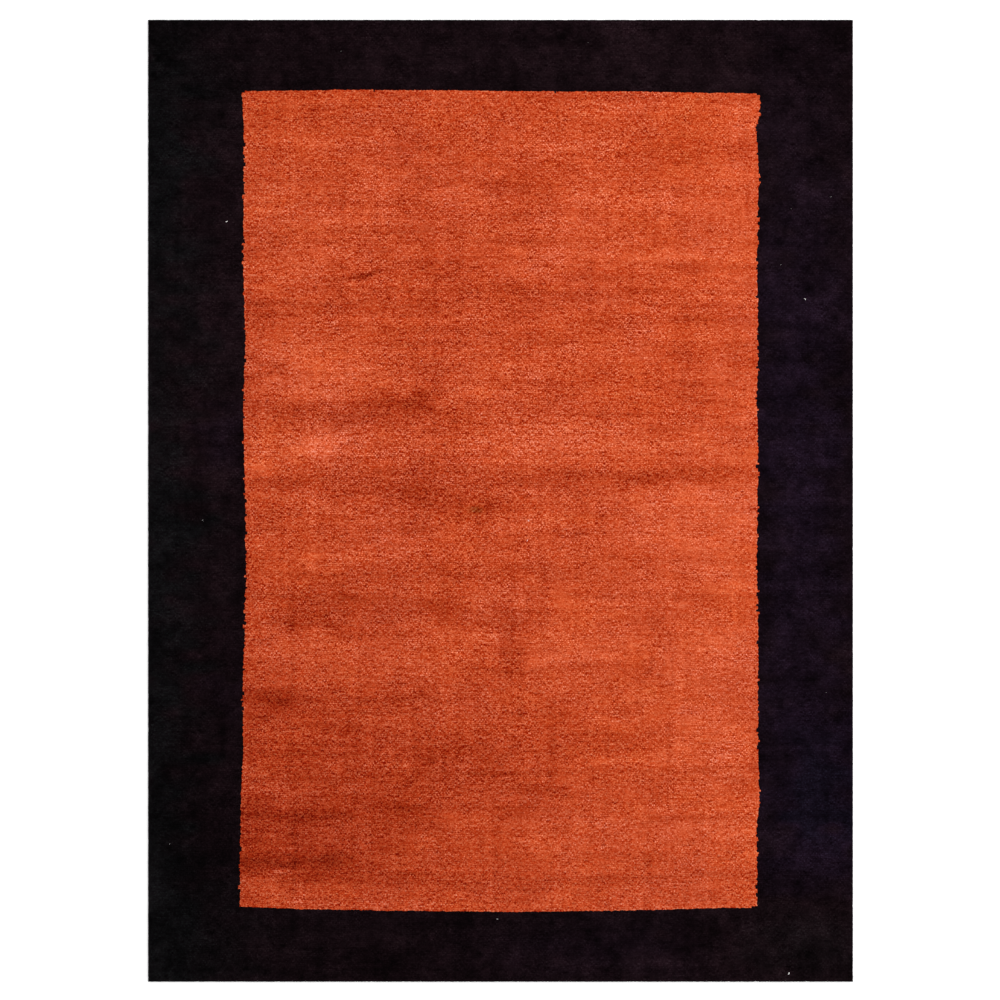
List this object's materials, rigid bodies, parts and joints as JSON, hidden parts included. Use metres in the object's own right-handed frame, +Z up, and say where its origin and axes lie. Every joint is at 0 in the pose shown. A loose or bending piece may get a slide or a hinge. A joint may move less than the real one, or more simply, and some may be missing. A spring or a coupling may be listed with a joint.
{
  "type": "hand-knotted rug",
  "caption": "Flat rectangular hand-knotted wool rug with short cut pile, a plain rust field inside a wide near-black border, rounded pile edges and a flat back.",
  "frame": {"origin": "middle of the flat underside, on the floor", "axes": "+X across the rug, +Y along it towards its head, +Z up out of the pile"},
  "size_m": [1.7, 2.32, 0.0126],
  "materials": {
    "field_wool": "rust cut wool pile, matt, with soft streaks from one dye lot to the next",
    "border_wool": "near-black cut wool pile, matt, with a faint plum cast"
  },
  "bodies": {
    "root": {"rug": "field_wool"}
  },
  "joints": []
}
